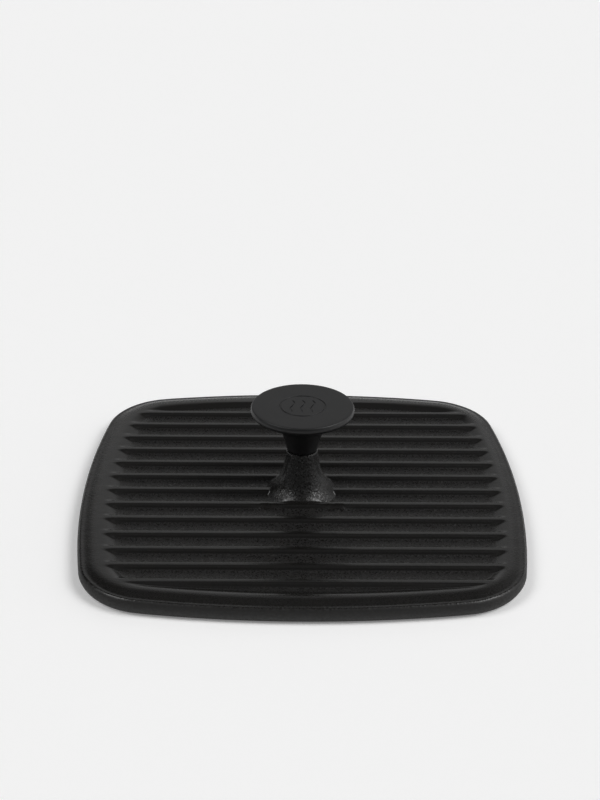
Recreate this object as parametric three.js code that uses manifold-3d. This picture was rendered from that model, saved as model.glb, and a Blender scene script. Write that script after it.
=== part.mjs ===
// Cast-iron grill press: a ribbed plate with a cast boss, and a knob that screws onto the boss.
// Millimetres, +Z up. The origin is the centre of the pressing face, on the surface that it rests on.
import * as THREE from 'three';
import { mergeVertices } from 'three/addons/utils/BufferGeometryUtils.js';
import Module from 'manifold-3d';

// ---- Driving dimensions -------------------------------------------------------------------------

const PLATE = {
  half: 110, // half of the width and of the depth
  sideBow: 6.2, // how far the left and right edges bow out, over the straight part
  frontBow: 6.4, // the same for the front and back edges
  corner: 36, // corner radius
  crown: 9.5, // height of the rim's crown and of the ridges
};

// The edge section from the resting face up to the crown, as distance in from the outline and height.
const EDGE_PROFILE = [
  [3.0, 0],
  [1.2, 1.0],
  [0.25, 2.6],
  [0, 4.2],
  [0.3, 6.0],
  [1.2, 7.4],
  [2.8, 8.2],
  [6.8, 9.0],
  [10.5, PLATE.crown],
];

const TOP_RIBS = {
  count: 13,
  pitch: 14.25,
  crest: 3.8, // width of a ridge's flat top
  flank: 1.4, // run of each sloping side
  depth: 2.2,
  margin: 12.4, // mean rim width from the outline to where the grooves start to fall
  endRun: 4, // run of the sloping wall at a groove's end
  shift: { x: 1.6, y: -1.0 }, // the grooves' ends against the outline: the mould halves met a little off
  lanes: -2.0, // the grooves' centres along Y, for the same reason
};

// The underside's ribs lie below the grooves of the top, which keeps the wall even.
const UNDER_RIBS = {
  count: 14,
  pitch: TOP_RIBS.pitch,
  crest: 4.2,
  flank: 1.6,
  depth: 3.0,
  margin: 10,
  endRun: 3,
  shift: { x: 0, y: 0 }, // the underside shares the outline's mould half
  lanes: 0,
};

const BOSS = {
  top: 30.9,
  foot: 18.4, // radius where it runs out into the ribs
  root: 4.5, // height inside the plate at which its solid starts
};

const THREAD = {
  stud: 2.9, // radius of the M6 stud's crests
  hole: 3.2, // radius of the tapped hole's roots
  pitch: 1.0,
  turns: 12, // turns from tight to free
};

const WASHER = {
  inner: 3.2,
  outer: 5.9,
  thickness: 1.2,
  slit: 1.0,
};

const KNOB = {
  radius: 25.6,
  top: 54.8,
  edge: 3.8, // thickness of the disc at its edge
  stem: 7.6, // radius of the stem where it meets the boss
};

const INSERT = {
  outer: 4.5,
  length: 10.5,
  knurls: 16,
};

const GAP = 0.3; // clearance between pieces that touch

// ---- Heights that follow from these -------------------------------------------------------------

const washerSeat = BOSS.top - 1.4;
const washerTop = washerSeat + GAP + WASHER.thickness;
const stemBottom = washerTop + GAP;
const engagement = THREAD.pitch * THREAD.turns;
const studBottom = washerSeat - engagement - 0.5;
const holeBottom = studBottom - 2.5;
const insertBottom = stemBottom + GAP;
const insertTop = insertBottom + INSERT.length;
const studTop = insertTop - GAP;
const socketTop = insertTop + GAP;

// ---- Materials ----------------------------------------------------------------------------------

const castIron = () => new THREE.MeshStandardMaterial({ color: 0x1b1b1c, roughness: 0.55, metalness: 0.3 });
const knobPlastic = () => new THREE.MeshStandardMaterial({ color: 0x161617, roughness: 0.4, metalness: 0 });
const zincSteel = () => new THREE.MeshStandardMaterial({ color: 0x9fa3a6, roughness: 0.35, metalness: 1 });
const springSteel = () => new THREE.MeshStandardMaterial({ color: 0x55585b, roughness: 0.4, metalness: 1 });
const brass = () => new THREE.MeshStandardMaterial({ color: 0xb08d4a, roughness: 0.35, metalness: 1 });

// ---- Solids and booleans ------------------------------------------------------------------------

const wasm = await Module();
wasm.setup();

function toSolid(geometry) {
  const bare = geometry.clone();
  bare.deleteAttribute('normal');
  bare.deleteAttribute('uv');
  const merged = mergeVertices(bare, 1e-5);
  const vertProperties = new Float32Array(merged.attributes.position.array);
  const triVerts = new Uint32Array(merged.index.array);
  return new wasm.Manifold(new wasm.Mesh({ numProp: 3, vertProperties, triVerts }));
}

function toGeometry(solid) {
  const mesh = solid.getMesh();
  const geometry = new THREE.BufferGeometry();
  geometry.setAttribute('position', new THREE.BufferAttribute(mesh.vertProperties, 3));
  geometry.setIndex(new THREE.BufferAttribute(mesh.triVerts, 1));
  geometry.computeVertexNormals();
  return geometry;
}

function namedMesh(name, geometry, material) {
  const mesh = new THREE.Mesh(geometry, material);
  mesh.name = name;
  return mesh;
}

// A body of revolution about Z. The profile is [radius, height] pairs, from the bottom up.
function turned(profile, segments) {
  const points = profile.map(([radius, height]) => new THREE.Vector2(radius, height));
  const geometry = new THREE.LatheGeometry(points, segments);
  geometry.rotateX(Math.PI / 2);
  return geometry;
}

// ---- Plan outline: four shallow arcs joined by four corner arcs ----------------------------------

// Bowed sides are arcs of a large circle. Every inset keeps the same centres, so insets stay parallel.
function outlineCentres() {
  const inner = PLATE.half - PLATE.corner;
  const sideRadius = (inner ** 2 + PLATE.sideBow ** 2) / (2 * PLATE.sideBow);
  const frontRadius = (inner ** 2 + PLATE.frontBow ** 2) / (2 * PLATE.frontBow);
  const side = new THREE.Vector2(inner - sideRadius, 0);
  const front = new THREE.Vector2(0, inner - frontRadius);
  const between = front.clone().sub(side);
  const span = between.length();
  const along = (sideRadius ** 2 - frontRadius ** 2 + span ** 2) / (2 * span);
  const across = Math.sqrt(sideRadius ** 2 - along ** 2);
  const unit = between.divideScalar(span);
  const corner = new THREE.Vector2(
    side.x + unit.x * along - unit.y * across,
    side.y + unit.y * along + unit.x * across,
  );
  return { side, front, corner, sideRadius, frontRadius };
}

const CENTRES = outlineCentres();
const SIDE_STEPS = 5;
const CORNER_STEPS = 8;

function arcPoints(centre, radius, from, to, steps) {
  const points = [];
  for (let step = 0; step < steps; step += 1) {
    const angle = from + ((to - from) * step) / steps;
    points.push(new THREE.Vector2(centre.x + radius * Math.cos(angle), centre.y + radius * Math.sin(angle)));
  }
  return points;
}

// One closed loop, anticlockwise from the middle of the right edge.
function outline(inset) {
  const { side, front, corner, sideRadius, frontRadius } = CENTRES;
  const offset = PLATE.corner - inset;
  const cornerStart = Math.atan2(corner.y - side.y, corner.x - side.x);
  const cornerEnd = Math.atan2(corner.y - front.y, corner.x - front.x);
  const quarter = [
    ...arcPoints(side, sideRadius + offset, 0, cornerStart, SIDE_STEPS),
    ...arcPoints(corner, offset, cornerStart, cornerEnd, CORNER_STEPS),
    ...arcPoints(front, frontRadius + offset, cornerEnd, Math.PI / 2, SIDE_STEPS),
    new THREE.Vector2(0, front.y + frontRadius + offset),
  ];
  const half = [...quarter, ...quarter.slice(0, -1).reverse().map((p) => new THREE.Vector2(-p.x, p.y))];
  return [...half, ...half.slice(1, -1).reverse().map((p) => new THREE.Vector2(p.x, -p.y))];
}

// A stack of outlines, each at its own inset and height, closed by flat caps.
function stackedOutlines(profile) {
  const loops = profile.map(([inset]) => outline(inset));
  const count = loops[0].length;
  const positions = [];
  profile.forEach(([, height], level) => loops[level].forEach((p) => positions.push(p.x, p.y, height)));
  const indices = [];
  for (let level = 0; level + 1 < profile.length; level += 1) {
    for (let i = 0; i < count; i += 1) {
      const here = level * count + i;
      const next = level * count + ((i + 1) % count);
      indices.push(here, next, next + count, here, next + count, here + count);
    }
  }
  const last = (profile.length - 1) * count;
  for (const [a, b, c] of THREE.ShapeUtils.triangulateShape(loops[0], [])) {
    indices.push(a, c, b);
  }
  for (const [a, b, c] of THREE.ShapeUtils.triangulateShape(loops[profile.length - 1], [])) {
    indices.push(last + a, last + b, last + c);
  }
  const geometry = new THREE.BufferGeometry();
  geometry.setAttribute('position', new THREE.Float32BufferAttribute(positions, 3));
  geometry.setIndex(indices);
  return geometry;
}

// ---- Grooves ------------------------------------------------------------------------------------

// One long channel along X, centred on y. It is wide at the mouth and narrow at the floor.
function channel(y, ribs, mouth, floor) {
  const reach = PLATE.half;
  const wide = (ribs.pitch - ribs.crest) / 2;
  const narrow = wide - ribs.flank;
  const over = (mouth - floor) * 0.2; // the cutter stands past the surface that it cuts
  const slope = ribs.flank / Math.abs(mouth - floor);
  const widest = wide + slope * Math.abs(over);
  const section = new THREE.Shape([
    new THREE.Vector2(y - narrow, floor),
    new THREE.Vector2(y + narrow, floor),
    new THREE.Vector2(y + widest, mouth + over),
    new THREE.Vector2(y - widest, mouth + over),
  ]);
  const geometry = new THREE.ExtrudeGeometry(section, { depth: 2 * reach, bevelEnabled: false });
  const toXAxis = new THREE.Matrix4().makeBasis(
    new THREE.Vector3(0, 1, 0),
    new THREE.Vector3(0, 0, 1),
    new THREE.Vector3(1, 0, 0),
  );
  geometry.applyMatrix4(toXAxis);
  geometry.translate(-reach, 0, 0);
  return toSolid(geometry);
}

// All channels beside and between the ribs, limited to the field inside the rim by sloping end walls.
function grooves(ribs, mouth, floor) {
  const over = (mouth - floor) * 0.2;
  const slope = ribs.endRun / Math.abs(mouth - floor);
  const levels = [
    [ribs.margin - slope * Math.abs(over), mouth + over],
    [ribs.margin + ribs.endRun, floor],
  ];
  const body = stackedOutlines(levels.sort((a, b) => a[1] - b[1]));
  body.translate(ribs.shift.x, ribs.shift.y, 0);
  const field = toSolid(body);
  let channels = null;
  for (let i = 0; i <= ribs.count; i += 1) {
    const next = channel((i - ribs.count / 2) * ribs.pitch + ribs.lanes, ribs, mouth, floor);
    channels = channels ? channels.add(next) : next;
  }
  return field.intersect(channels);
}

// ---- Plate with its boss ------------------------------------------------------------------------

// Waisted wall of the boss, from its foot in the ribs to its top.
const bossWall = new THREE.SplineCurve([
  new THREE.Vector2(16.6, 9.4),
  new THREE.Vector2(12.9, 12.4),
  new THREE.Vector2(10.1, 18.4),
  new THREE.Vector2(8.6, 24.4),
  new THREE.Vector2(7.8, 30.2),
]);
const BOSS_WALL_STEPS = 10;
const BOSS_SEGMENTS = 48;

function bossSolid() {
  const wall = bossWall.getPoints(BOSS_WALL_STEPS).map((p) => [p.x, p.y]);
  const grooveFloor = PLATE.crown - TOP_RIBS.depth;
  const profile = [
    [0, BOSS.root],
    [BOSS.foot, BOSS.root],
    [BOSS.foot, grooveFloor],
    ...wall,
    [7.4, BOSS.top],
    [0, BOSS.top],
  ];
  return toSolid(turned(profile, BOSS_SEGMENTS));
}

function boreSolid() {
  const seatRadius = WASHER.outer + GAP;
  const profile = [
    [0, holeBottom - 1.5],
    [THREAD.hole, holeBottom],
    [THREAD.hole, washerSeat],
    [seatRadius, washerSeat],
    [seatRadius, BOSS.top + 1],
    [0, BOSS.top + 1],
  ];
  return toSolid(turned(profile, 32));
}

function pressPlate() {
  const blank = toSolid(stackedOutlines(EDGE_PROFILE));
  const topGrooves = grooves(TOP_RIBS, PLATE.crown, PLATE.crown - TOP_RIBS.depth);
  const underGrooves = grooves(UNDER_RIBS, 0, UNDER_RIBS.depth);
  const casting = blank.subtract(topGrooves).subtract(underGrooves).add(bossSolid());
  return toGeometry(casting.subtract(boreSolid()));
}

// ---- Fastening ----------------------------------------------------------------------------------

function lockWasher() {
  const half = Math.asin(WASHER.slit / 2 / WASHER.outer);
  const ring = new THREE.Shape();
  ring.absarc(0, 0, WASHER.outer, half, 2 * Math.PI - half, false);
  ring.absarc(0, 0, WASHER.inner, 2 * Math.PI - half, half, true);
  const geometry = new THREE.ExtrudeGeometry(ring, {
    depth: WASHER.thickness,
    bevelEnabled: false,
    curveSegments: 28,
  });
  geometry.translate(0, 0, washerSeat + GAP);
  return geometry;
}

function threadedStud() {
  const chamfer = 0.6;
  const profile = [
    [0, studBottom],
    [THREAD.stud - chamfer, studBottom],
    [THREAD.stud, studBottom + chamfer],
    [THREAD.stud, studTop - chamfer],
    [THREAD.stud - chamfer, studTop],
    [0, studTop],
  ];
  return turned(profile, 24);
}

// A bush with straight knurls, so that it can't turn in the moulding.
function knobInsert() {
  const tooth = 0.3;
  const points = [];
  for (let i = 0; i < 2 * INSERT.knurls; i += 1) {
    const angle = (Math.PI * i) / INSERT.knurls;
    const radius = i % 2 ? INSERT.outer - tooth : INSERT.outer;
    points.push(new THREE.Vector2(radius * Math.cos(angle), radius * Math.sin(angle)));
  }
  const section = new THREE.Shape(points);
  section.holes.push(new THREE.Path().absarc(0, 0, THREAD.stud + GAP, 0, 2 * Math.PI, true));
  const geometry = new THREE.ExtrudeGeometry(section, {
    depth: INSERT.length,
    bevelEnabled: false,
    curveSegments: 12,
  });
  geometry.translate(0, 0, insertBottom);
  return geometry;
}

// ---- Knob ---------------------------------------------------------------------------------------

// Underside from the stem out to the disc's edge.
const knobUnderside = new THREE.SplineCurve([
  new THREE.Vector2(KNOB.stem, stemBottom + 0.3),
  new THREE.Vector2(9.3, 38),
  new THREE.Vector2(11.9, 44.2),
  new THREE.Vector2(16.5, 48.2),
  new THREE.Vector2(KNOB.radius - 1.2, KNOB.top - KNOB.edge),
]);
const KNOB_UNDERSIDE_STEPS = 12;
const KNOB_SEGMENTS = 64;

function knobBody() {
  const underside = knobUnderside.getPoints(KNOB_UNDERSIDE_STEPS).map((p) => [p.x, p.y]);
  const socket = INSERT.outer + GAP;
  const profile = [
    [0, socketTop],
    [socket, socketTop],
    [socket, stemBottom],
    [KNOB.stem - 0.4, stemBottom],
    ...underside,
    [KNOB.radius - 0.4, KNOB.top - KNOB.edge + 0.8],
    [KNOB.radius, KNOB.top - KNOB.edge / 2],
    [KNOB.radius - 0.25, KNOB.top - 0.9],
    [KNOB.radius - 0.9, KNOB.top],
    [0, KNOB.top],
  ];
  return turned(profile, KNOB_SEGMENTS);
}

// ---- Assembly -----------------------------------------------------------------------------------

const press = new THREE.Group();
press.add(namedMesh('press_plate', pressPlate(), castIron()));
press.add(namedMesh('lock_washer', lockWasher(), springSteel()));

const screwedKnob = new THREE.Group();
screwedKnob.add(namedMesh('threaded_stud', threadedStud(), zincSteel()));
screwedKnob.add(namedMesh('knob_insert', knobInsert(), brass()));
screwedKnob.add(namedMesh('knob_body', knobBody(), knobPlastic()));
press.add(screwedKnob);

export default press;
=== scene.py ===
"""A cast-iron grill press: a ribbed plate with a cast boss, and a mushroom knob that screws onto it.

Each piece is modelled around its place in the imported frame. Sizes in the formulas are millimetres, and
meshes and settings are in metres. +Z is up, the ribs run along X, and the press stands on Z = 0.
"""

import math
from types import SimpleNamespace

import bmesh
import bpy
from mathutils import Matrix, Vector, noise


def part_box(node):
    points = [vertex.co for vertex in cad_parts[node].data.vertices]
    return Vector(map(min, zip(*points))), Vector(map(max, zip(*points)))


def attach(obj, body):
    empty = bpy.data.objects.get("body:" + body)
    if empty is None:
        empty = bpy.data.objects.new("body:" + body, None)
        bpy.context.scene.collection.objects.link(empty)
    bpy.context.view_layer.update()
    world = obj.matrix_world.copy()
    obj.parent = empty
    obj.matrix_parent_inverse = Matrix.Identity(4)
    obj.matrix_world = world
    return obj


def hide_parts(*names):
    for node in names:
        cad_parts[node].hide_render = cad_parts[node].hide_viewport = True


bl_info = {
    "name": "Cast-iron grill press",
    "version": (1, 0, 0),
    "blender": (4, 5, 0),
    "location": "View3D > Sidebar > Grill Press",
    "description": "Builds a ribbed cast-iron grill press with a screwed-on knob",
    "category": "Add Mesh",
}

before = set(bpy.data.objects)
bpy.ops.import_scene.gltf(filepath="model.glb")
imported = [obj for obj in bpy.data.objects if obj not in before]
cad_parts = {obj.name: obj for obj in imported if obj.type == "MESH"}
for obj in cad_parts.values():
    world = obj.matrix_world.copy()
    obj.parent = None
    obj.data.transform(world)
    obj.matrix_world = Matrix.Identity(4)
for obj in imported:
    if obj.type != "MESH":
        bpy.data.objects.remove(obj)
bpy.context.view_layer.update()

MM = 0.001
QUARTER = math.pi / 2
FULL = 2 * math.pi


def span_mm(node):
    """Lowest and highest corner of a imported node, in millimetres."""
    low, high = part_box(node)
    return Vector(low) / MM, Vector(high) / MM


PLATE_HIGH = span_mm("press_plate")[1]
WASHER_LOW, WASHER_HIGH = span_mm("lock_washer")
STUD_LOW, STUD_HIGH = span_mm("threaded_stud")
INSERT_LOW, INSERT_HIGH = span_mm("knob_insert")
KNOB_LOW, KNOB_HIGH = span_mm("knob_body")


# ---- What a user would change --------------------------------------------------------------------


class PlateSettings(bpy.types.PropertyGroup):
    """Sizes of the cast plate."""

    crown: bpy.props.FloatProperty(
        name="Crown height", description="Height of the rim's crown and of the ridges",
        default=9.5 * MM, unit="LENGTH",
    )
    corner: bpy.props.FloatProperty(
        name="Corner radius", description="Radius of the plan's corners",
        default=36.0 * MM, unit="LENGTH",
    )
    side_bow: bpy.props.FloatProperty(
        name="Side bow", description="How far the left and right edges bow out",
        default=6.2 * MM, unit="LENGTH",
    )
    front_bow: bpy.props.FloatProperty(
        name="Front bow", description="How far the front and back edges bow out",
        default=6.4 * MM, unit="LENGTH",
    )
    pitch: bpy.props.FloatProperty(
        name="Rib pitch", description="Distance from one ridge to the next",
        default=14.25 * MM, unit="LENGTH",
    )
    crest: bpy.props.FloatProperty(
        name="Ridge crest", description="Width of a top ridge between its edges",
        default=3.8 * MM, unit="LENGTH",
    )
    depth: bpy.props.FloatProperty(
        name="Groove depth", description="Depth of the top grooves",
        default=2.2 * MM, unit="LENGTH",
    )
    under_depth: bpy.props.FloatProperty(
        name="Underside groove depth", description="Depth of the grooves in the pressing face",
        default=3.0 * MM, unit="LENGTH",
    )
    unevenness: bpy.props.FloatProperty(
        name="Casting unevenness", description="Height of the slow waves left by the sand mould",
        default=0.07 * MM, unit="LENGTH",
    )


class KnobSettings(bpy.types.PropertyGroup):
    """Sizes of the knob."""

    edge: bpy.props.FloatProperty(
        name="Edge thickness", description="Thickness of the disc at its edge",
        default=3.8 * MM, unit="LENGTH",
    )
    mark_size: bpy.props.FloatProperty(
        name="Mark diameter", description="Outer diameter of the ring engraved in the top",
        default=23.0 * MM, unit="LENGTH",
    )
    mark_depth: bpy.props.FloatProperty(
        name="Mark depth", description="Depth of the engraved ring and heat waves",
        default=0.25 * MM, unit="LENGTH",
    )


class FinishSettings(bpy.types.PropertyGroup):
    """Base colours of the finishes, as sRGB hex."""

    iron: bpy.props.StringProperty(
        name="Cast iron", description="Black of the seasoned casting",
        default="101010",
    )
    oil: bpy.props.StringProperty(
        name="Seasoning", description="Warm black of the baked oil where it lies thicker",
        default="151311",
    )
    knob: bpy.props.StringProperty(
        name="Knob", description="Black of the moulded knob",
        default="101011",
    )
    steel: bpy.props.StringProperty(
        name="Zinc plate", description="Colour of the zinc-plated stud",
        default="c4c8cb",
    )
    spring: bpy.props.StringProperty(
        name="Spring steel", description="Colour of the phosphated washer",
        default="5a5c5e",
    )
    brass: bpy.props.StringProperty(
        name="Brass", description="Colour of the threaded insert",
        default="d9b466",
    )
    floor: bpy.props.StringProperty(
        name="Floor", description="Colour of the studio floor",
        default="f2f2f2",
    )


def setting_names(group):
    return [name for name in group.bl_rna.properties.keys() if name not in ("rna_type", "name")]


def sizes_mm(group):
    """The group's lengths in millimetres."""
    return SimpleNamespace(**{name: round(getattr(group, name) / MM, 4) for name in setting_names(group)})


def plate_settings():
    return sizes_mm(bpy.context.scene.grill_press_plate)


def knob_settings():
    return sizes_mm(bpy.context.scene.grill_press_knob)


def finish_settings():
    return bpy.context.scene.grill_press_finish


# ---- Curves in the section plane -----------------------------------------------------------------


def catmull_rom(p, q, r, s, t):
    """Value at t on the way from q to r, with p and s beyond them."""
    return 0.5 * (2 * q + (r - p) * t + (2 * p - 5 * q + 4 * r - s) * t * t + (3 * q - p - 3 * r + s) * t**3)


def smooth_curve(points, steps):
    """Points along a Catmull-Rom curve through the given points, steps to each stretch."""
    padded = [points[0], *points, points[-1]]
    curve = []
    for a, b, c, d in zip(padded, padded[1:], padded[2:], padded[3:]):
        for step in range(steps):
            t = step / steps
            curve.append(tuple(catmull_rom(*values, t) for values in zip(a, b, c, d)))
    return [*curve, tuple(points[-1])]


def along(curve, value):
    """Second coordinate of a curve where its first coordinate has the value."""
    for (a, b), (c, d) in zip(curve, curve[1:]):
        if min(a, c) <= value <= max(a, c) and a != c:
            return b + (d - b) * (value - a) / (c - a)
    return curve[0][1] if abs(value - curve[0][0]) < abs(value - curve[-1][0]) else curve[-1][1]


def ramp(value, start, end):
    """0 up to the start, 1 from the end on, and a straight ramp between."""
    return min(max((value - start) / (end - start), 0.0), 1.0)


def eased(value, radius):
    """Zero below, the value above, and a parabola of the given radius between."""
    if value <= -radius:
        return 0.0
    if value >= radius:
        return value
    return (value + radius) ** 2 / (4 * radius)


def blended_low(a, b, radius):
    """The lower of two values, rounded where they meet."""
    gap = max(radius - abs(a - b), 0.0) / radius
    return min(a, b) - gap * gap * radius / 4


def blended_high(a, b, radius):
    return -blended_low(-a, -b, radius)


# ---- Plan outline --------------------------------------------------------------------------------


class Outline:
    """Four shallow arcs joined by corner arcs. Every inset keeps the same centres."""

    def __init__(self, half, corner, side_bow, front_bow):
        inner = half - corner
        self.corner = corner
        self.side_radius = (inner**2 + side_bow**2) / (2 * side_bow)
        self.front_radius = (inner**2 + front_bow**2) / (2 * front_bow)
        self.side_centre = Vector((inner - self.side_radius, 0))
        self.front_centre = Vector((0, inner - self.front_radius))
        between = self.front_centre - self.side_centre
        span = between.length
        reach = (self.side_radius**2 - self.front_radius**2 + span**2) / (2 * span)
        across = math.sqrt(self.side_radius**2 - reach**2)
        unit = between / span
        self.corner_centre = self.side_centre + unit * reach + Vector((-unit.y, unit.x)) * across
        to_side = self.corner_centre - self.side_centre
        to_front = self.corner_centre - self.front_centre
        self.corner_start = math.atan2(to_side.y, to_side.x)
        self.corner_end = math.atan2(to_front.y, to_front.x)

    def _nearest(self, x, y):
        """Inset and outward direction at a point of the first quadrant."""
        point = Vector((x, y))
        from_side = point - self.side_centre
        from_front = point - self.front_centre
        beyond_side = math.atan2(from_side.y, from_side.x) > self.corner_start
        beyond_front = math.atan2(from_front.y, from_front.x) < self.corner_end
        if beyond_side and beyond_front:
            from_corner = point - self.corner_centre
            return self.corner - from_corner.length, from_corner.normalized()
        side = self.side_radius + self.corner - from_side.length
        front = self.front_radius + self.corner - from_front.length
        if side < front:
            return side, from_side.normalized()
        return front, from_front.normalized()

    def inset(self, x, y):
        return self._nearest(abs(x), abs(y))[0]

    def outward(self, x, y):
        direction = self._nearest(abs(x), abs(y))[1]
        return Vector((math.copysign(direction.x, x), math.copysign(direction.y, y)))

    def half_width(self, y, inset):
        """X of the inset outline at a height y in plan."""
        radius = self.corner - inset
        offset = abs(y) - self.corner_centre.y
        if offset > radius * math.sin(self.corner_start):
            return self.corner_centre.x + math.sqrt(max(radius**2 - offset**2, 0))
        reach = self.side_radius + radius
        return self.side_centre.x + math.sqrt(reach**2 - y * y)

    def half_depth(self, x, inset):
        """Y of the inset outline at a place x in plan."""
        radius = self.corner - inset
        offset = abs(x) - self.corner_centre.x
        if offset > radius * math.cos(self.corner_end):
            return self.corner_centre.y + math.sqrt(max(radius**2 - offset**2, 0))
        reach = self.front_radius + radius
        return self.front_centre.y + math.sqrt(reach**2 - x * x)

    def corner_point(self, angle, inset):
        direction = Vector((math.cos(angle), math.sin(angle)))
        return self.corner_centre + direction * (self.corner - inset)


# ---- Ribbed faces --------------------------------------------------------------------------------


class RibbedFace:
    """One face of the plate: parallel grooves whose ends rise to the rim."""

    def __init__(self, outline, pitch, crest, flank, depth, margin, end_run, field, phase, shift, slip):
        self.outline = outline
        self.shift = shift  # how far the groove ends lie from the outline's middle
        self.slip = slip  # how far the lanes lie towards the back
        self.pitch = pitch
        self.crest = crest
        self.flank = flank
        self.depth = depth
        self.margin = margin
        self.end_run = end_run
        self.field = field  # inset of the loop where this face hands over to the rim
        self.phase = phase  # distance of the nearest groove's centre from the middle
        self.mouth_radius = 1.0  # rounding where a flank leaves the ridge
        self.floor_radius = 0.9  # rounding where a flank meets the floor
        self.tip_radius = 1.6  # rounding in plan of a groove's two end corners

    def groove(self, x, y):
        """0 on the ridges and the rim, 1 on a groove's floor."""
        across = y - self.slip
        lane = round((across - self.phase) / self.pitch) * self.pitch + self.phase
        beside = (self.pitch - self.crest) / 2 - abs(across - lane)
        inset = self.outline.inset(x - self.shift.x, y - self.shift.y)
        ahead = (inset - self.margin) * self.flank / self.end_run
        inside = blended_low(beside, ahead, self.tip_radius)
        rise = eased(inside, self.mouth_radius) - eased(inside - self.flank, self.floor_radius)
        return rise / self.flank

    def stations(self):
        """Distances from a ridge's centre at which the section needs a row of points."""
        edge = self.crest / 2
        turn = self.mouth_radius
        toe = self.flank + self.floor_radius
        steps = 7
        flank = [edge - turn + (turn + toe) * k / steps for k in range(steps + 1)]
        middle = self.pitch / 2
        return [0.0, (edge - turn) / 2, *flank, (flank[-1] + middle) / 2, middle]

    def straight_rows(self, last_ridge):
        """Y of each straight row, from the outermost ridge on one side to that on the other."""
        half = self.stations()
        ridges = round(2 * last_ridge / self.pitch)
        rows = set()
        for k in range(ridges + 1):
            centre = -last_ridge + k * self.pitch
            for station in half:
                rows.add(round(centre + station, 4))
                rows.add(round(centre - station, 4))
        limit = last_ridge + self.crest / 2 - self.mouth_radius
        return sorted(y + self.slip for y in rows if abs(y) <= limit + 1e-6)


def column_places(width, near, middle_half):
    """X of the columns across a row: fine at both ends, and fine beside the boss."""
    end_steps = 10
    plain = 12
    boss_steps = 18
    ends = [near * k / end_steps for k in range(end_steps + 1)]
    reach = width - near
    boss = [middle_half * k / boss_steps for k in range(boss_steps)]
    rest = [middle_half + (reach - middle_half) * k / plain for k in range(plain)]
    half = [*boss, *rest, *[width - t for t in reversed(ends)]]
    return [-x for x in reversed(half[1:])] + half


def end_band(face, last_row, corner_angle, fractions, columns):
    """Rows that turn from the last straight row to the bowed edge of the field, by a Coons patch."""
    outline = face.outline
    width = outline.half_width(last_row, face.field)
    start = math.atan2(last_row - outline.corner_centre.y, width - outline.corner_centre.x)
    tip = outline.corner_point(corner_angle, face.field)
    rows = []
    for w in fractions:
        side = outline.corner_point(start + (corner_angle - start) * w, face.field)
        row = []
        for place in columns:
            low = Vector((place * width, last_row))
            x_top = place * tip.x
            high = Vector((x_top, outline.half_depth(x_top, face.field)))
            u = (place + 1) / 2
            across = Vector((side.x * place, side.y))
            corners = Vector(((1 - w) * place * width + w * place * tip.x, (1 - w) * last_row + w * tip.y))
            point = low * (1 - w) + high * w + across - corners
            row.append((point.x, point.y))
        rows.append(row)
    return rows


def field_places(face, last_ridge, middle_half, corner_angle):
    """Plan places of a ribbed face's grid, as rows of (x, y), from the front edge to the back."""
    near = 8.0  # length at each end of a row where the columns are fine
    straight = face.straight_rows(last_ridge)
    widest = face.outline.half_width(0, face.field)
    template = column_places(widest, near, middle_half)

    def places(width):
        stretch = (width - near) / (widest - near)
        out = []
        for x in template:
            size = abs(x)
            size = size * stretch if size < widest - near else width - (widest - size)
            out.append(math.copysign(size, x))
        return out

    rows = [
        [(x, y) for x in places(face.outline.half_width(y, face.field))]
        for y in straight
    ]
    band = 16
    fractions = [k / band for k in range(1, band + 1)]

    def beyond(last_row):
        edge_width = face.outline.half_width(last_row, face.field)
        columns = [x / edge_width for x in places(edge_width)]
        return end_band(face, last_row, corner_angle, fractions, columns)

    front = [[(x, -y) for x, y in row] for row in reversed(beyond(-straight[0]))]
    return front + rows + beyond(straight[-1])


# ---- Modelling helpers ---------------------------------------------------------------------------


def start_fresh():
    """Leaves edit mode and deselects everything, so that the next operator acts on its own piece."""
    if bpy.context.object and bpy.context.object.mode != "OBJECT":
        bpy.ops.object.mode_set(mode="OBJECT")
    bpy.ops.object.select_all(action="DESELECT")


def named(name):
    """Names the new primitive and its mesh."""
    piece = bpy.context.object
    piece.name = name
    piece.data.name = name
    return piece


def edit(piece, mode="EDGE"):
    bpy.context.view_layer.objects.active = piece
    bpy.ops.object.mode_set(mode="EDIT")
    bpy.ops.mesh.select_mode(type=mode)
    bpy.ops.mesh.select_all(action="DESELECT")


def select_edges(piece, test):
    bpy.ops.mesh.select_all(action="DESELECT")
    mesh = bmesh.from_edit_mesh(piece.data)
    for edge in mesh.edges:
        if test(edge):
            edge.select_set(True)
    bmesh.update_edit_mesh(piece.data)


def place_selected(piece, place):
    """Moves each selected point to place(x, y, z), all in millimetres."""
    mesh = bmesh.from_edit_mesh(piece.data)
    for vert in mesh.verts:
        if vert.select:
            vert.co = Vector(place(*(vert.co / MM))) * MM
    bmesh.update_edit_mesh(piece.data)


def extrude_to(piece, place):
    """Extrudes the selected loop and places the new one."""
    bpy.ops.mesh.extrude_region()
    place_selected(piece, place)


def close_to_point(piece):
    bpy.ops.mesh.extrude_region()
    bpy.ops.mesh.merge(type="CENTER")


def finish_mesh(piece, sharp_angle):
    """Merges doubles, turns faces outwards and shades the piece smooth up to the given angle."""
    bpy.ops.object.mode_set(mode="EDIT")
    bpy.ops.mesh.select_all(action="SELECT")
    bpy.ops.mesh.remove_doubles(threshold=0.002 * MM)
    bpy.ops.mesh.normals_make_consistent(inside=False)
    bpy.ops.object.mode_set(mode="OBJECT")
    bpy.ops.object.select_all(action="DESELECT")
    piece.select_set(True)
    bpy.ops.object.shade_smooth_by_angle(angle=math.radians(sharp_angle))


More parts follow.
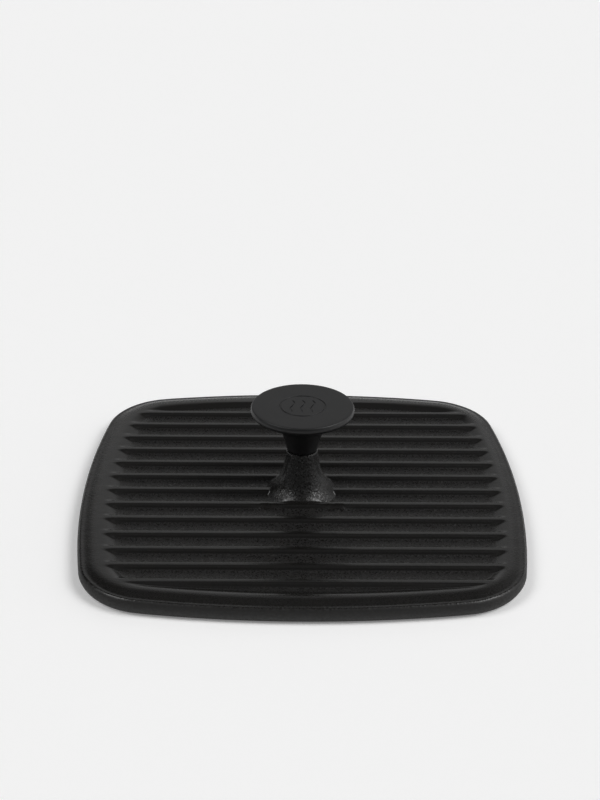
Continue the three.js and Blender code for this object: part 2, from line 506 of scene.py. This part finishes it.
def tower(name, count, rings):
    """A closed body made of rings of points about Z. Each ring is a function of angle giving (radius, z)."""
    start_fresh()
    bpy.ops.mesh.primitive_circle_add(vertices=count, radius=MM, fill_type="NOTHING")
    piece = named(name)
    edit(piece)
    bpy.ops.mesh.select_all(action="SELECT")

    def placed(ring):
        def place(x, y, z):
            angle = math.atan2(y, x)
            radius, height = ring(angle)
            return radius * math.cos(angle), radius * math.sin(angle), height

        return place

    place_selected(piece, placed(rings[0]))
    for ring in rings[1:]:
        extrude_to(piece, placed(ring))
    return piece


def plain_rings(profile):
    """Rings of a body of revolution from a list of (radius, z)."""
    return [lambda angle, at=point: at for point in profile]


def dress(piece, body, nodes, material):
    """Gives a finished piece its material, ties it to its body, and hides the imported nodes it stands for.
    """
    piece.data.materials.clear()
    piece.data.materials.append(material)
    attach(piece, body)
    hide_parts(*nodes)


# ---- Materials -----------------------------------------------------------------------------------


def linear(hex_colour):
    """Linear RGBA of an sRGB hex colour."""
    channels = [int(hex_colour[k : k + 2], 16) / 255 for k in (0, 2, 4)]
    return (*[c / 12.92 if c <= 0.04045 else ((c + 0.055) / 1.055) ** 2.4 for c in channels], 1.0)


def per_metre(size_mm):
    """Texture scale at which one cell of a pattern is this many millimetres."""
    return 1 / (size_mm * MM)


def add_node(tree, kind, settings=None, values=None, links=None):
    """Adds a node with its settings, its input values and its incoming links."""
    node = tree.nodes.new(kind)
    for key, value in (settings or {}).items():
        setattr(node, key, value)
    for key, value in (values or {}).items():
        node.inputs[key].default_value = value
    for key, socket in (links or {}).items():
        tree.links.new(socket, node.inputs[key])
    return node


def new_material(name):
    material = bpy.data.materials.new(name)
    material.use_nodes = True
    return material, material.node_tree, material.node_tree.nodes["Principled BSDF"]


def seasoned_cast_iron():
    """Sand-cast iron, oil-seasoned black. The sand's grain shows in the grooves and on the boss, and the
    ridges and the rim are rubbed smooth, so they carry long soft highlights."""
    material, tree, shader = new_material("seasoned cast iron")
    place = add_node(tree, "ShaderNodeTexCoord").outputs["Object"]
    rough = add_node(tree, "ShaderNodeAttribute", {"attribute_name": "sand_cast"}).outputs["Fac"]
    # sand grain of about 0.7 mm, drawn a little coarser than the real sand so that it shows
    grain = add_node(
        tree,
        "ShaderNodeTexNoise",
        values={"Scale": per_metre(0.95), "Detail": 1.0, "Roughness": 0.5},
        links={"Vector": place},
    )
    pits = add_node(
        tree,
        "ShaderNodeTexVoronoi",
        {"feature": "F1"},
        {"Scale": per_metre(1.1), "Randomness": 1.0},
        {"Vector": place},
    )
    # slow lumps a few millimetres across, from the mould's face
    lumps = add_node(
        tree,
        "ShaderNodeTexNoise",
        values={"Scale": per_metre(6.0), "Detail": 2.0, "Roughness": 0.5},
        links={"Vector": place},
    )
    coarse = add_node(
        tree,
        "ShaderNodeMix",
        {"data_type": "FLOAT"},
        {"Factor": 0.35},
        {"A": grain.outputs["Fac"], "B": pits.outputs["Distance"]},
    )
    strength = add_node(
        tree,
        "ShaderNodeMapRange",
        values={"To Min": 0.03, "To Max": 1.0},
        links={"Value": rough},
    )
    height = add_node(
        tree,
        "ShaderNodeMath",
        {"operation": "MULTIPLY"},
        links={0: coarse.outputs["Result"], 1: strength.outputs["Result"]},
    )
    bump = add_node(
        tree,
        "ShaderNodeBump",
        values={"Strength": 1.0, "Distance": 0.4 * MM},
        links={"Height": height.outputs["Value"]},
    )
    soft_bump = add_node(
        tree,
        "ShaderNodeBump",
        values={"Strength": 0.35, "Distance": 0.25 * MM},
        links={"Height": lumps.outputs["Fac"], "Normal": bump.outputs["Normal"]},
    )
    dull = add_node(tree, "ShaderNodeAttribute", {"attribute_name": "dull_skin"}).outputs["Fac"]
    gloss = add_node(
        tree,
        "ShaderNodeMapRange",
        values={"To Min": 0.25, "To Max": 0.6},
        links={"Value": dull},
    )
    # the grains' tips are rubbed shiny, and the hollows between them stay dull
    hollows = add_node(
        tree,
        "ShaderNodeMapRange",
        values={"From Min": 0.44, "From Max": 0.6, "To Min": 0.3, "To Max": -0.06},
        links={"Value": grain.outputs["Fac"]},
    )
    skin = add_node(
        tree,
        "ShaderNodeMath",
        {"operation": "MULTIPLY_ADD"},
        links={0: hollows.outputs["Result"], 1: rough, 2: gloss.outputs["Result"]},
    )
    black = linear(finish_settings().iron)
    brown = linear(finish_settings().oil)
    tint = add_node(
        tree,
        "ShaderNodeMix",
        {"data_type": "RGBA"},
        {"A": black, "B": brown},
        {"Factor": lumps.outputs["Fac"]},
    )
    tree.links.new(tint.outputs["Result"], shader.inputs["Base Color"])
    tree.links.new(skin.outputs["Value"], shader.inputs["Roughness"])
    tree.links.new(soft_bump.outputs["Normal"], shader.inputs["Normal"])
    shader.inputs["IOR"].default_value = 1.5
    return material


def moulded_phenolic():
    """Compression-moulded phenolic, black and satin: an even surface with the faintest orange peel."""
    material, tree, shader = new_material("moulded black phenolic")
    place = add_node(tree, "ShaderNodeTexCoord").outputs["Object"]
    peel = add_node(
        tree,
        "ShaderNodeTexNoise",
        values={"Scale": per_metre(0.8), "Detail": 2.0},
        links={"Vector": place},
    )
    cloud = add_node(
        tree,
        "ShaderNodeTexNoise",
        values={"Scale": per_metre(14.0), "Detail": 3.0},
        links={"Vector": place},
    )
    gloss = add_node(
        tree,
        "ShaderNodeMapRange",
        values={"To Min": 0.42, "To Max": 0.48},
        links={"Value": cloud.outputs["Fac"]},
    )
    bump = add_node(
        tree,
        "ShaderNodeBump",
        values={"Strength": 0.25, "Distance": 0.02 * MM},
        links={"Height": peel.outputs["Fac"]},
    )
    tree.links.new(gloss.outputs["Result"], shader.inputs["Roughness"])
    tree.links.new(bump.outputs["Normal"], shader.inputs["Normal"])
    shader.inputs["Base Color"].default_value = linear(finish_settings().knob)
    shader.inputs["IOR"].default_value = 1.5
    return material


def machined_metal(name, colour, roughness, line_mm):
    """Turned or rolled metal with fine lines round its axis."""
    material, tree, shader = new_material(name)
    place = add_node(tree, "ShaderNodeTexCoord").outputs["Object"]
    stretch = add_node(
        tree,
        "ShaderNodeMapping",
        values={"Scale": (per_metre(6.0), per_metre(6.0), per_metre(line_mm))},
        links={"Vector": place},
    )
    lines = add_node(
        tree,
        "ShaderNodeTexNoise",
        values={"Scale": 1.0, "Detail": 3.0},
        links={"Vector": stretch.outputs["Vector"]},
    )
    gloss = add_node(
        tree,
        "ShaderNodeMapRange",
        values={"To Min": roughness - 0.06, "To Max": roughness + 0.08},
        links={"Value": lines.outputs["Fac"]},
    )
    bump = add_node(
        tree,
        "ShaderNodeBump",
        values={"Strength": 0.2, "Distance": 0.02 * MM},
        links={"Height": lines.outputs["Fac"]},
    )
    tree.links.new(gloss.outputs["Result"], shader.inputs["Roughness"])
    tree.links.new(bump.outputs["Normal"], shader.inputs["Normal"])
    shader.inputs["Base Color"].default_value = linear(colour)
    shader.inputs["Metallic"].default_value = 1.0
    return material


# ---- Plate ---------------------------------------------------------------------------------------

# Section of the rim, from the crown out to the lip and down to the resting face: inset and height.
RIM_SECTION = [
    (10.5, 9.5), (8.4, 9.42), (6.4, 9.06), (4.4, 8.38), (3.2, 8.04), (2.5, 8.0), (1.9, 8.02),
    (1.3, 7.78), (0.6, 7.0), (0.15, 5.7), (0.0, 4.2), (0.5, 2.5), (1.6, 0.95), (3.5, 0.0),
]

# Section of the boss, from the groove floor beside it up its waisted wall: radius and height.
BOSS_SECTION = [(17.8, 7.3), (16.3, 9.3), (12.9, 12.4), (10.1, 18.4), (8.6, 24.4), (7.8, 30.2)]

# Radius of the first round ring outside the boss's foot.
FOOT_CIRCLE = 20.4

# Gap kept all round a piece that sits inside another.
CLEARANCE = 0.3


def plate_outline():
    size = plate_settings()
    return Outline(PLATE_HIGH.x, size.corner, size.side_bow, size.front_bow)


def top_face(outline):
    size = plate_settings()
    return RibbedFace(
        outline,
        pitch=size.pitch,
        crest=size.crest,
        flank=1.4,
        depth=size.depth,
        margin=12.4,
        end_run=4.0,
        field=10.5,
        phase=size.pitch / 2,
        shift=Vector((1.6, -1.0)),
        slip=-2.4,
    )


def under_face(outline):
    size = plate_settings()
    return RibbedFace(
        outline,
        pitch=size.pitch,
        crest=4.2,
        flank=1.6,
        depth=size.under_depth,
        margin=10.0,
        end_run=3.0,
        field=8.5,
        phase=0.0,
        shift=Vector((0, 0)),
        slip=0.0,
    )


def mould_wave(x, y, z):
    """Slow waves of the casting, -1 to 1, longer along the ribs than across them."""
    broad = noise.noise(Vector((x / 26, y / 11, z / 9)))
    fine = noise.noise(Vector((x / 7 + 40, y / 4, z / 4)))
    return 0.75 * broad + 0.25 * fine


def ribbed_grid(name, places, height):
    """A grid primitive whose points are laid on the face's rows and raised to its height."""
    start_fresh()
    columns = len(places[0])
    bpy.ops.mesh.primitive_grid_add(x_subdivisions=columns - 1, y_subdivisions=len(places) - 1, size=2)
    piece = named(name)
    for vert in piece.data.vertices:
        i = round((vert.co.x + 1) / 2 * (columns - 1))
        j = round((vert.co.y + 1) / 2 * (len(places) - 1))
        x, y = places[j][i]
        vert.co = Vector((x, y, height(x, y))) * MM
    return piece


def plate_heights(size, top, under):
    """Height of the plate's top and of its pressing face, as functions of a place in plan."""
    foot = [BOSS_SECTION[0], *smooth_curve(BOSS_SECTION[1:], 8)]
    foot_radius, foot_height = BOSS_SECTION[0]
    skirt_width = 3.0
    skirt_fall = 1.2
    blend = 0.5

    def top_height(x, y):
        ribs = size.crown - size.depth * top.groove(x, y) + size.unevenness * mould_wave(x, y, 0)
        radius = math.hypot(x, y)
        if radius > foot_radius + skirt_width:
            return ribs
        if radius > foot_radius:
            skirt = foot_height - (radius - foot_radius) * skirt_fall
        else:
            skirt = along(foot, radius)
        return blended_high(ribs, skirt, blend)

    def under_height(x, y):
        cut = under.groove(x, y)
        return cut * (size.under_depth + size.unevenness * mould_wave(x, y, 30))

    return top_height, under_height


def open_middle(plate, half):
    """Deletes the middle of the grid, where the boss goes, and selects the edge of the opening."""
    edit(plate, "FACE")
    mesh = bmesh.from_edit_mesh(plate.data)
    for face in mesh.faces:
        centre = face.calc_center_median() / MM
        if max(abs(centre.x), abs(centre.y)) < half - 0.1:
            face.select_set(True)
    bmesh.update_edit_mesh(plate.data)
    bpy.ops.mesh.delete(type="FACE")
    bpy.ops.mesh.select_mode(type="EDGE")

    def beside_opening(edge):
        middle = (edge.verts[0].co + edge.verts[1].co) / 2 / MM
        return edge.is_boundary and max(abs(middle.x), abs(middle.y)) < half + 4

    select_edges(plate, beside_opening)


def lay_foot(plate, top_height):
    """Rings from the square opening in to the boss's foot, where ribs and boss run into each other."""

    def draw_in(radius_from):
        def place(x, y, z):
            radius = math.hypot(x, y)
            factor = radius_from(radius) / radius
            return x * factor, y * factor, top_height(x * factor, y * factor)

        extrude_to(plate, place)

    turns_in = 4
    for step in range(turns_in):
        share = 1 / (turns_in - step)
        draw_in(lambda radius: radius + (FOOT_CIRCLE - radius) * share)
    foot_rings = 24
    spacing = 0.25
    for step in range(foot_rings):
        draw_in(lambda radius: FOOT_CIRCLE - spacing * (step + 1))


def raise_boss(plate, wave):
    """The waisted wall, the rounded casting edge, the washer's seat and the blind hole for the stud."""
    top_z = PLATE_HIGH.z
    seat_z = WASHER_LOW.z - CLEARANCE
    seat_radius = WASHER_HIGH.x + CLEARANCE
    hole_radius = STUD_HIGH.x + CLEARANCE
    hole_z = STUD_LOW.z - 2.5
    wall = [point for point in smooth_curve(BOSS_SECTION[1:], 8) if point[0] < FOOT_CIRCLE - 6.5]
    section = [
        *wall,
        (7.7, top_z - 0.35),
        (7.5, top_z - 0.1),
        (7.2, top_z),
        (seat_radius + 0.25, top_z),
        (seat_radius, top_z - 0.2),
        (seat_radius, seat_z + 0.1),
        (seat_radius - 0.1, seat_z),
        (hole_radius + 0.35, seat_z),
        (hole_radius, seat_z - 0.35),
        (hole_radius, hole_z),
    ]
    for radius, height in section:
        swell = wave * 0.6 if radius > 7.6 else 0.0

        def wall_ring(x, y, z, radius=radius, height=height, swell=swell):
            angle = math.atan2(y, x)
            grown = radius + swell * mould_wave(20 * math.cos(angle), 20 * math.sin(angle), height)
            return grown * math.cos(angle), grown * math.sin(angle), height

        extrude_to(plate, wall_ring)
    close_to_point(plate)
    place_selected(plate, lambda x, y, z: (0, 0, hole_z - 1.5))


def wrap_rim(plate, outline, inset_now, wave):
    """Rings out from the ribbed field to the lip, and down and under to the resting face."""
    select_edges(plate, lambda edge: edge.is_boundary)
    for inset, height in smooth_curve(RIM_SECTION, 2)[1:]:
        step = inset_now - inset
        inset_now = inset

        def rim_ring(x, y, z, step=step, height=height):
            out = outline.outward(x, y)
            moved = Vector((x, y)) + out * step
            waver = wave * mould_wave(moved.x, moved.y, height) * min(height / 2, 1)
            return moved.x, moved.y, height + waver

        extrude_to(plate, rim_ring)


def build_plate():
    """The casting: a ribbed grid with the boss grown from its middle and the rim from its edge, joined
    underneath by a flat band to a second grid, the pressing face."""
    size = plate_settings()
    outline = plate_outline()
    top = top_face(outline)
    under = under_face(outline)
    top_height, under_height = plate_heights(size, top, under)
    boss_half = 1.5 * size.pitch
    top_corner = math.radians(55)
    under_corner = math.radians(72)
    top_places = field_places(top, 6 * size.pitch, boss_half, top_corner)
    plate = ribbed_grid("press_plate_casting", top_places, top_height)
    open_middle(plate, boss_half)
    lay_foot(plate, top_height)
    raise_boss(plate, size.unevenness)
    wrap_rim(plate, outline, top.field, size.unevenness)
    bpy.ops.object.mode_set(mode="OBJECT")
    under_places = field_places(under, 6.5 * size.pitch, boss_half, under_corner)
    ribbed_grid("pressing_face", under_places, under_height)
    plate.select_set(True)
    bpy.context.view_layer.objects.active = plate
    bpy.ops.object.join()
    edit(plate)
    select_edges(plate, lambda edge: edge.is_boundary)
    bpy.ops.mesh.bridge_edge_loops()
    finish_mesh(plate, 50)
    mark_finish(plate, outline, top, under)
    dress(plate, "plate", ["press_plate"], seasoned_cast_iron())


def mark_finish(plate, outline, top, under):
    """Stores at each point how much of the sand's grain is left, and how dull the oiled skin is. Both are
    near 0 where the casting is rubbed smooth, and only the wall of the rim is really dull."""
    grain = plate.data.attributes.new("sand_cast", "FLOAT", "POINT")
    skin = plate.data.attributes.new("dull_skin", "FLOAT", "POINT")
    rubbed = 0.05
    patch_size = 9.0
    boss_reach = 17.0
    lip_inset = 1.9
    lip_reach = 1.4
    for k, vert in enumerate(plate.data.vertices):
        x, y, z = vert.co / MM
        inset = outline.inset(x, y)
        patch = 0.5 + 0.5 * noise.noise(Vector((x, y, z)) / patch_size)
        on_face = rubbed + (1 - rubbed) * ramp(top.groove(x, y), 0.75, 1.0)
        if z < 3.5 and inset > 3:
            left = 0.15 + 0.85 * under.groove(x, y)
        elif math.hypot(x, y) < boss_reach:
            # most grain at the boss's foot, and little from its waist up
            wall = 0.33 - 0.28 * ramp(z, 12, 18)
            left = max(on_face, wall * ramp(z, 8.5, 10.5))
        elif inset > top.field:
            left = on_face
        elif z > 7:
            slope = 0.25 * (1 - ramp(inset, top.field - 4, top.field))
            lip = 0.5 * (1 - ramp(abs(inset - lip_inset), 0, lip_reach))
            left = rubbed + 0.01 + (slope + lip) * patch
        else:
            left = 0.2 + 0.15 * patch
        left = min(left, 1.0)
        grain.data[k].value = left
        skin.data[k].value = 1 - ramp(z, 7.1, 7.9) if inset < 2.5 else 0.12 * left


# ---- Washer, stud and insert ---------------------------------------------------------------------


def build_washer():
    """A split ring of rectangular wire, with its two ends a little apart."""
    start_fresh()
    inner = 3.2
    outer = WASHER_HIGH.x
    low = WASHER_LOW.z
    high = WASHER_HIGH.z
    opening = math.radians(10)
    bpy.ops.mesh.primitive_plane_add(size=1)
    washer = named("split_lock_washer")
    corners = [(inner, low), (outer, low), (inner, high), (outer, high)]
    for vert, (radius, height) in zip(washer.data.vertices, corners):
        start = opening / 2
        vert.co = Vector((radius * math.cos(start), radius * math.sin(start), height)) * MM
    edit(washer, "FACE")
    bpy.ops.mesh.select_all(action="SELECT")
    bpy.ops.mesh.spin(
        steps=64, angle=FULL - opening, center=(0, 0, 0), axis=(0, 0, 1), use_normal_flip=False
    )
    bpy.ops.object.mode_set(mode="OBJECT")
    finish_mesh(washer, 40)
    bevel = washer.modifiers.new("edge", "BEVEL")
    bevel.width = 0.12 * MM
    bevel.segments = 2
    bpy.ops.object.modifier_apply(modifier="edge")
    colour = finish_settings().spring
    material = machined_metal("phosphated spring steel", colour, roughness=0.42, line_mm=0.4)
    dress(washer, "washer", ["lock_washer"], material)


def thread_rings(radius, depth, pitch, low, high, chamfer):
    """Rings of a helical thread: at each height, the radius follows the helix round."""
    per_pitch = 8
    steps = round((high - low) / pitch * per_pitch)
    rings = [lambda angle: (radius - chamfer, low)]
    for k in range(1, steps):
        height = low + (high - low) * k / steps
        ease = min((height - low) / chamfer, (high - height) / chamfer, 1.0)

        def ring(angle, height=height, ease=ease):
            turn = (height / pitch - angle / FULL) % 1.0
            # a triangle wave, cut off at both ends for the thread's flat root and crest
            tooth = min(max(1.25 * abs(2 * turn - 1) - 0.12, 0), 1)
            return radius - chamfer * (1 - ease) - depth * tooth * ease, height

        rings.append(ring)
    rings.append(lambda angle: (radius - chamfer, high))
    return rings


def build_stud():
    """An M6 stud with a rolled thread and chamfered ends."""
    stud = tower(
        "rolled_m6_stud",
        40,
        thread_rings(STUD_HIGH.x, depth=0.55, pitch=1.0, low=STUD_LOW.z, high=STUD_HIGH.z, chamfer=0.6),
    )
    bpy.ops.mesh.edge_face_add()
    select_edges(stud, lambda edge: edge.is_boundary)
    bpy.ops.mesh.edge_face_add()
    finish_mesh(stud, 45)
    material = machined_metal("zinc-plated steel", finish_settings().steel, roughness=0.3, line_mm=0.5)
    dress(stud, "knob", ["threaded_stud"], material)


def build_insert():
    """A brass bush with a diamond knurl between plain collars, bored through."""
    outer = INSERT_HIGH.x
    inner = STUD_HIGH.x + CLEARANCE
    low = INSERT_LOW.z
    high = INSERT_HIGH.z
    knurls = 20
    steps = 40
    rings = [lambda angle: (inner, low + 0.3), lambda angle: (inner + 0.3, low)]
    rings += [lambda angle: (outer - 0.5, low), lambda angle: (outer - 0.25, low + 0.25)]
    for k in range(1, steps):
        height = low + 0.3 + (high - low - 0.6) * k / steps
        collar = abs(k / steps - 0.5) > 0.4 or abs(k / steps - 0.5) < 0.06

        def ring(angle, height=height, collar=collar):
            if collar:
                return outer - 0.35, height
            slant = (height - low) / 1.6
            left = math.cos(knurls * angle + FULL * slant)
            right = math.cos(knurls * angle - FULL * slant)
            return outer - 0.15 + 0.15 * min(left, right), height

        rings.append(ring)
    rings += [lambda angle: (outer - 0.25, high - 0.25), lambda angle: (outer - 0.5, high)]
    rings += [lambda angle: (inner + 0.3, high), lambda angle: (inner, high - 0.3)]
    insert = tower("knurled_brass_insert", 120, rings)
    select_edges(insert, lambda edge: edge.is_boundary)
    bpy.ops.mesh.bridge_edge_loops()
    finish_mesh(insert, 40)
    material = machined_metal("turned brass", finish_settings().brass, roughness=0.28, line_mm=0.3)
    dress(insert, "knob", ["knob_insert"], material)


# ---- Knob ----------------------------------------------------------------------------------------


def knob_profile():
    """Section of the knob from the blind end of its socket, round the outside, to the mark's ring."""
    size = knob_settings()
    radius = KNOB_HIGH.x
    top = KNOB_HIGH.z
    bottom = KNOB_LOW.z
    socket = INSERT_HIGH.x + CLEARANCE
    socket_top = INSERT_HIGH.z + CLEARANCE
    rim = (radius - 1.5, top - size.edge - 0.05)
    under = smooth_curve([(7.6, bottom + 0.35), (9.3, 38.0), (11.9, 44.2), (16.5, 48.2), rim], 10)
    edge = smooth_curve(
        [
            rim,
            (radius - 0.5, top - size.edge + 0.45),
            (radius - 0.02, top - size.edge * 0.6),
            (radius - 0.12, top - 1.2),
            (radius - 0.42, top - 0.45),
        ],
        4,
    )
    round_over = [
        (radius - 1.0 + 0.6 * math.cos(a), top - 0.6 + 0.6 * math.sin(a))
        for a in [QUARTER * k / 5 for k in range(1, 6)]
    ]
    outer = size.mark_size / 2
    inner = outer - 0.8
    floor = top - size.mark_depth
    ring = [(outer + 0.06, top), (outer - 0.1, floor), (inner + 0.1, floor), (inner - 0.06, top)]
    return [
        (socket, socket_top),
        (socket, bottom + 0.3),
        (socket + 0.3, bottom),
        (7.2, bottom),
        (7.45, bottom + 0.1),
        *under,
        *edge[1:],
        *round_over,
        (radius - 2.5, top),
        *ring,
    ]


def wave_cutter(offset):
    """A wavy ribbon that stands in the knob's top, for one heat wave of the mark."""
    size = knob_settings()
    half_length = size.mark_size * 0.27
    half_width = 0.42
    swing = 0.95
    steps = 36
    start_fresh()
    bpy.ops.mesh.primitive_grid_add(x_subdivisions=1, y_subdivisions=steps, size=2)
    cutter = named("wave_cutter")
    floor = KNOB_HIGH.z - size.mark_depth
    for vert in cutter.data.vertices:
        along_wave = vert.co.y
        taper = math.sqrt(max(1 - abs(along_wave) ** 6, 0.02))
        x = offset + swing * math.sin(along_wave * math.pi) + vert.co.x * half_width * taper
        vert.co = Vector((x, along_wave * half_length, floor)) * MM
    edit(cutter, "FACE")
    bpy.ops.mesh.select_all(action="SELECT")
    bpy.ops.mesh.extrude_region()
    place_selected(cutter, lambda x, y, z: (x, y, KNOB_HIGH.z + 1))
    bpy.ops.mesh.select_all(action="SELECT")
    bpy.ops.mesh.normals_make_consistent(inside=False)
    bpy.ops.object.mode_set(mode="OBJECT")
    return cutter


def build_knob():
    """The moulded mushroom knob, with an engraved ring round three heat waves on its top."""
    knob = tower("mushroom_knob", 128, plain_rings(knob_profile()))
    bpy.ops.mesh.edge_face_add()
    select_edges(knob, lambda edge: edge.is_boundary)
    bpy.ops.mesh.edge_face_add()
    bpy.ops.object.mode_set(mode="OBJECT")
    finish_mesh(knob, 35)
    for offset in (-5.0, 0.0, 5.0):
        cutter = wave_cutter(offset)
        start_fresh()
        knob.select_set(True)
        bpy.context.view_layer.objects.active = knob
        cut = knob.modifiers.new("mark", "BOOLEAN")
        cut.operation = "DIFFERENCE"
        cut.object = cutter
        bpy.ops.object.modifier_apply(modifier="mark")
        bpy.data.objects.remove(cutter)
    finish_mesh(knob, 35)
    dress(knob, "knob", ["knob_body"], moulded_phenolic())


# ---- Stage ---------------------------------------------------------------------------------------


def build_camera():
    """The studio camera: a fairly long lens, looking down at about 26 degrees."""
    pitch = math.radians(26.17)
    yaw = math.radians(0.70)
    roll = math.radians(0.65)
    distance = 799.6
    target = Vector((-1.32, 0, 58.02))
    back = Vector((0, -math.cos(pitch), math.sin(pitch)))
    turned = Matrix.Rotation(-yaw, 3, "Z")
    place = turned @ (target + back * distance)
    data = bpy.data.cameras.new("studio_camera")
    data.lens = 73.3
    data.sensor_width = 36
    data.clip_end = 100
    camera = bpy.data.objects.new("studio_camera", data)
    bpy.context.scene.collection.objects.link(camera)
    look = (turned @ back).to_track_quat("Z", "Y").to_matrix()
    spin = Matrix.Rotation(roll, 3, turned @ back)
    camera.matrix_world = Matrix.Translation(place * MM) @ (spin @ look).to_4x4()
    bpy.context.scene.camera = camera


# The studio's surround, as soft glows: azimuth from the back wall and elevation of the middle in degrees,
# radius of the bright part and of its fading edge in degrees, and radiance.
GLOWS = {
    "back wall": (0, 22, 10, 22, 0.44),
    "right of the back wall": (50, 25, 10, 28, 0.22),
    "right bank, low": (90, 18, 12, 28, 0.7),
    "right bank, high": (104, 50, 5, 16, 7.0),
    "left bank": (-104, 50, 5, 16, 5.0),
    "ceiling": (0, 90, 15, 30, 0.1),
}
SURROUND = 0.02  # radiance between the glows
FLOOR_GLOW = 0.19  # emission of the floor, which evens out its tone


def studio_world():
    """A dark surround with wide soft banks of white light, far away, so the floor is lit evenly."""
    world = bpy.data.worlds.new("studio_surround")
    bpy.context.scene.world = world
    world.use_nodes = True
    tree = world.node_tree
    background = tree.nodes["Background"]
    look = add_node(tree, "ShaderNodeTexCoord").outputs["Generated"]
    total = None
    for azimuth, elevation, core, edge, radiance in GLOWS.values():
        turn = math.radians(azimuth)
        rise = math.radians(elevation)
        middle = (math.sin(turn) * math.cos(rise), math.cos(turn) * math.cos(rise), math.sin(rise))
        facing = add_node(
            tree, "ShaderNodeVectorMath", {"operation": "DOT_PRODUCT"}, {1: middle}, {0: look}
        )
        glow = add_node(
            tree,
            "ShaderNodeMapRange",
            {"interpolation_type": "SMOOTHSTEP"},
            {
                "From Min": math.cos(math.radians(core + edge)),
                "From Max": math.cos(math.radians(core)),
                "To Min": 0.0,
                "To Max": radiance,
            },
            {"Value": facing.outputs["Value"]},
        )
        if total is None:
            total = add_node(
                tree, "ShaderNodeMath", {"operation": "ADD"}, {1: SURROUND}, {0: glow.outputs["Result"]}
            )
        else:
            total = add_node(
                tree,
                "ShaderNodeMath",
                {"operation": "ADD"},
                links={0: total.outputs["Value"], 1: glow.outputs["Result"]},
            )
    tree.links.new(total.outputs["Value"], background.inputs["Strength"])
    background.inputs["Color"].default_value = (1, 1, 1, 1)


def build_stage():
    build_camera()
    start_fresh()
    bpy.ops.mesh.primitive_plane_add(size=12)
    floor = named("studio_floor")
    material, tree, shader = new_material("matt white floor")
    shader.inputs["Base Color"].default_value = linear(finish_settings().floor)
    shader.inputs["Roughness"].default_value = 1.0
    shader.inputs["Specular IOR Level"].default_value = 0.0
    shader.inputs["Emission Color"].default_value = (1, 1, 1, 1)
    shader.inputs["Emission Strength"].default_value = FLOOR_GLOW
    floor.data.materials.append(material)
    studio_world()
    bpy.context.scene.view_settings.view_transform = "Standard"


# ---- Operators -----------------------------------------------------------------------------------


class GRILLPRESS_OT_plate(bpy.types.Operator):
    """Models the cast plate with its ribs, rim and boss"""

    bl_idname = "grillpress.plate"
    bl_label = "Cast Plate"

    def execute(self, context):
        build_plate()
        return {"FINISHED"}


class GRILLPRESS_OT_fastening(bpy.types.Operator):
    """Models the split washer, the stud and the knob's insert"""

    bl_idname = "grillpress.fastening"
    bl_label = "Washer, Stud and Insert"

    def execute(self, context):
        build_washer()
        build_stud()
        build_insert()
        return {"FINISHED"}


class GRILLPRESS_OT_knob(bpy.types.Operator):
    """Models the knob and engraves its mark"""

    bl_idname = "grillpress.knob"
    bl_label = "Knob"

    def execute(self, context):
        build_knob()
        return {"FINISHED"}


class GRILLPRESS_OT_stage(bpy.types.Operator):
    """Adds the floor, the lit surround and the camera"""

    bl_idname = "grillpress.stage"
    bl_label = "Studio Stage"

    def execute(self, context):
        build_stage()
        return {"FINISHED"}


class GRILLPRESS_PT_panel(bpy.types.Panel):
    """Lists the press's sizes, colours and pieces"""

    bl_idname = "GRILLPRESS_PT_panel"
    bl_label = "Grill Press"
    bl_space_type = "VIEW_3D"
    bl_region_type = "UI"
    bl_category = "Grill Press"

    def draw(self, context):
        layout = self.layout
        for group in (
            context.scene.grill_press_plate,
            context.scene.grill_press_knob,
            context.scene.grill_press_finish,
        ):
            box = layout.box()
            for name in setting_names(group):
                box.prop(group, name)
        for operator in OPERATORS:
            layout.operator(operator.bl_idname)


OPERATORS = (
    GRILLPRESS_OT_stage,
    GRILLPRESS_OT_plate,
    GRILLPRESS_OT_fastening,
    GRILLPRESS_OT_knob,
)
CLASSES = (PlateSettings, KnobSettings, FinishSettings, *OPERATORS, GRILLPRESS_PT_panel)


def register():
    for cls in CLASSES:
        bpy.utils.register_class(cls)
    bpy.types.Scene.grill_press_plate = bpy.props.PointerProperty(type=PlateSettings)
    bpy.types.Scene.grill_press_knob = bpy.props.PointerProperty(type=KnobSettings)
    bpy.types.Scene.grill_press_finish = bpy.props.PointerProperty(type=FinishSettings)


def unregister():
    del bpy.types.Scene.grill_press_finish
    del bpy.types.Scene.grill_press_knob
    del bpy.types.Scene.grill_press_plate
    for cls in reversed(CLASSES):
        bpy.utils.unregister_class(cls)


def main():
    register()
    bpy.ops.grillpress.stage()
    bpy.ops.grillpress.plate()
    bpy.ops.grillpress.fastening()
    bpy.ops.grillpress.knob()


if __name__ == "__main__":
    main()
